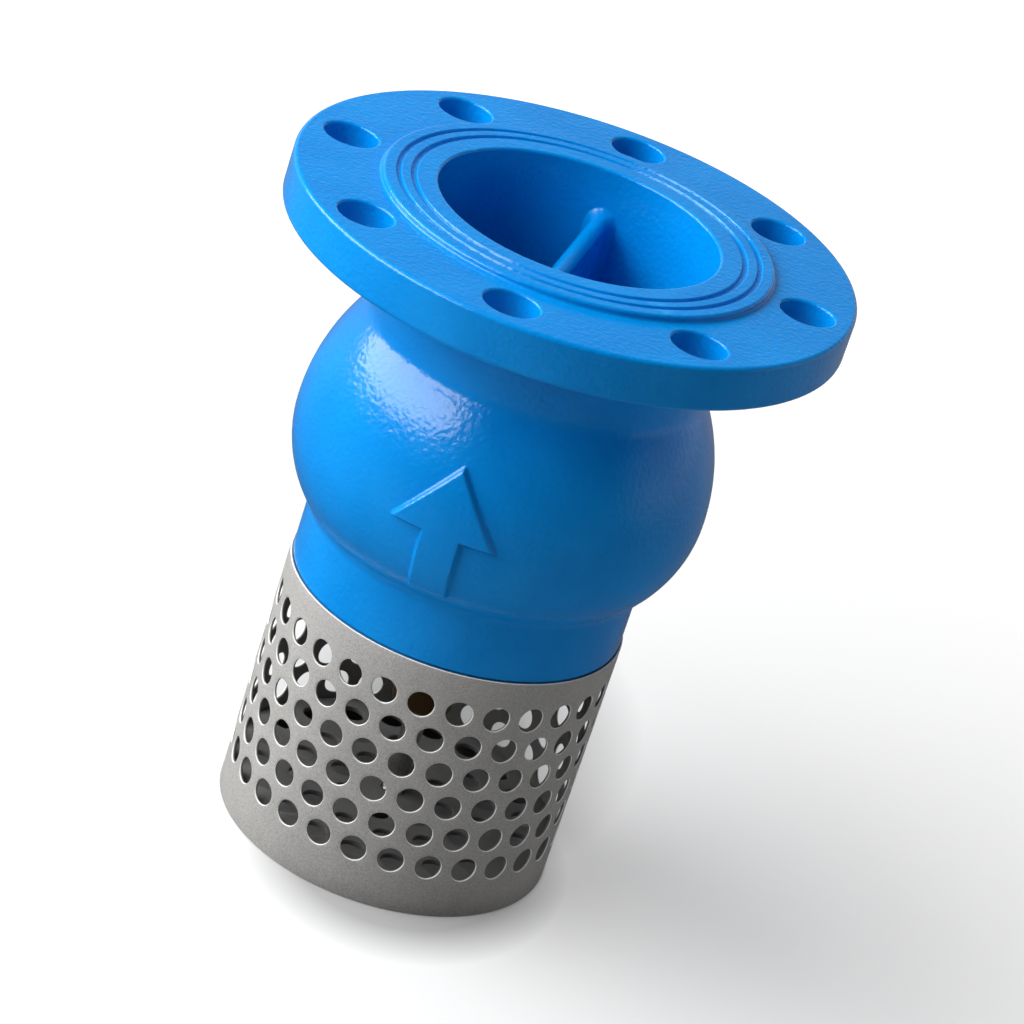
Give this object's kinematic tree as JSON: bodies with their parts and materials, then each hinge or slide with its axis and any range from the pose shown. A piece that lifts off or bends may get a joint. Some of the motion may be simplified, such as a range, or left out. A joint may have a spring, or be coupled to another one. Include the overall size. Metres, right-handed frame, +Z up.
{
  "type": "foot valve",
  "caption": "Flanged foot valve: a bulged iron body with a spring-closed lift disc inside, over a round perforated strainer basket.",
  "frame": {"origin": "centre of the strainer's lower rim, in the plane that the valve stands on", "axes": "+Z up along the flow, towards the flange; the rib in the outlet bore lies along Y, and the cast flow arrow faces -Y"},
  "size_m": [0.25, 0.25, 0.31],
  "materials": {
    "coated_iron": "gloss epoxy coat",
    "strainer_steel": "bead-blasted matt",
    "fastener_steel": "satin",
    "disc_steel": "turned",
    "stem_steel": "ground",
    "spring_steel": "drawn wire",
    "bronze": "turned",
    "rubber": "matt"
  },
  "bodies": {
    "valve_body": {"body_casting": "coated_iron", "upper_guide_bush": "bronze", "seat_ring": "bronze", "seat_oring": "rubber", "lower_guide_bush": "bronze", "closing_spring": "spring_steel", "strainer_sleeve": "strainer_steel", "strainer_base": "strainer_steel", "tie_rod": "fastener_steel", "tie_rod_lock_nut": "fastener_steel", "tie_rod_washer": "fastener_steel", "tie_rod_nut": "fastener_steel", "seat_screw_1": "fastener_steel", "seat_screw_2": "fastener_steel", "seat_screw_3": "fastener_steel", "seat_screw_4": "fastener_steel", "seat_screw_5": "fastener_steel", "seat_screw_6": "fastener_steel"},
    "disc_assembly": {"disc": "disc_steel", "disc_seal": "rubber", "seal_retainer": "disc_steel", "stem": "stem_steel", "stem_washer": "fastener_steel", "stem_nut": "fastener_steel"}
  },
  "joints": [
    {"name": "disc_lift", "type": "slide", "parent": "valve_body", "child": "disc_assembly", "axis": [0, 0, 1], "range_m": [0, 0.022], "stiffness_N_per_m": 5090, "springref_m": -0.0066, "deforming": ["closing_spring"]}
  ]
}
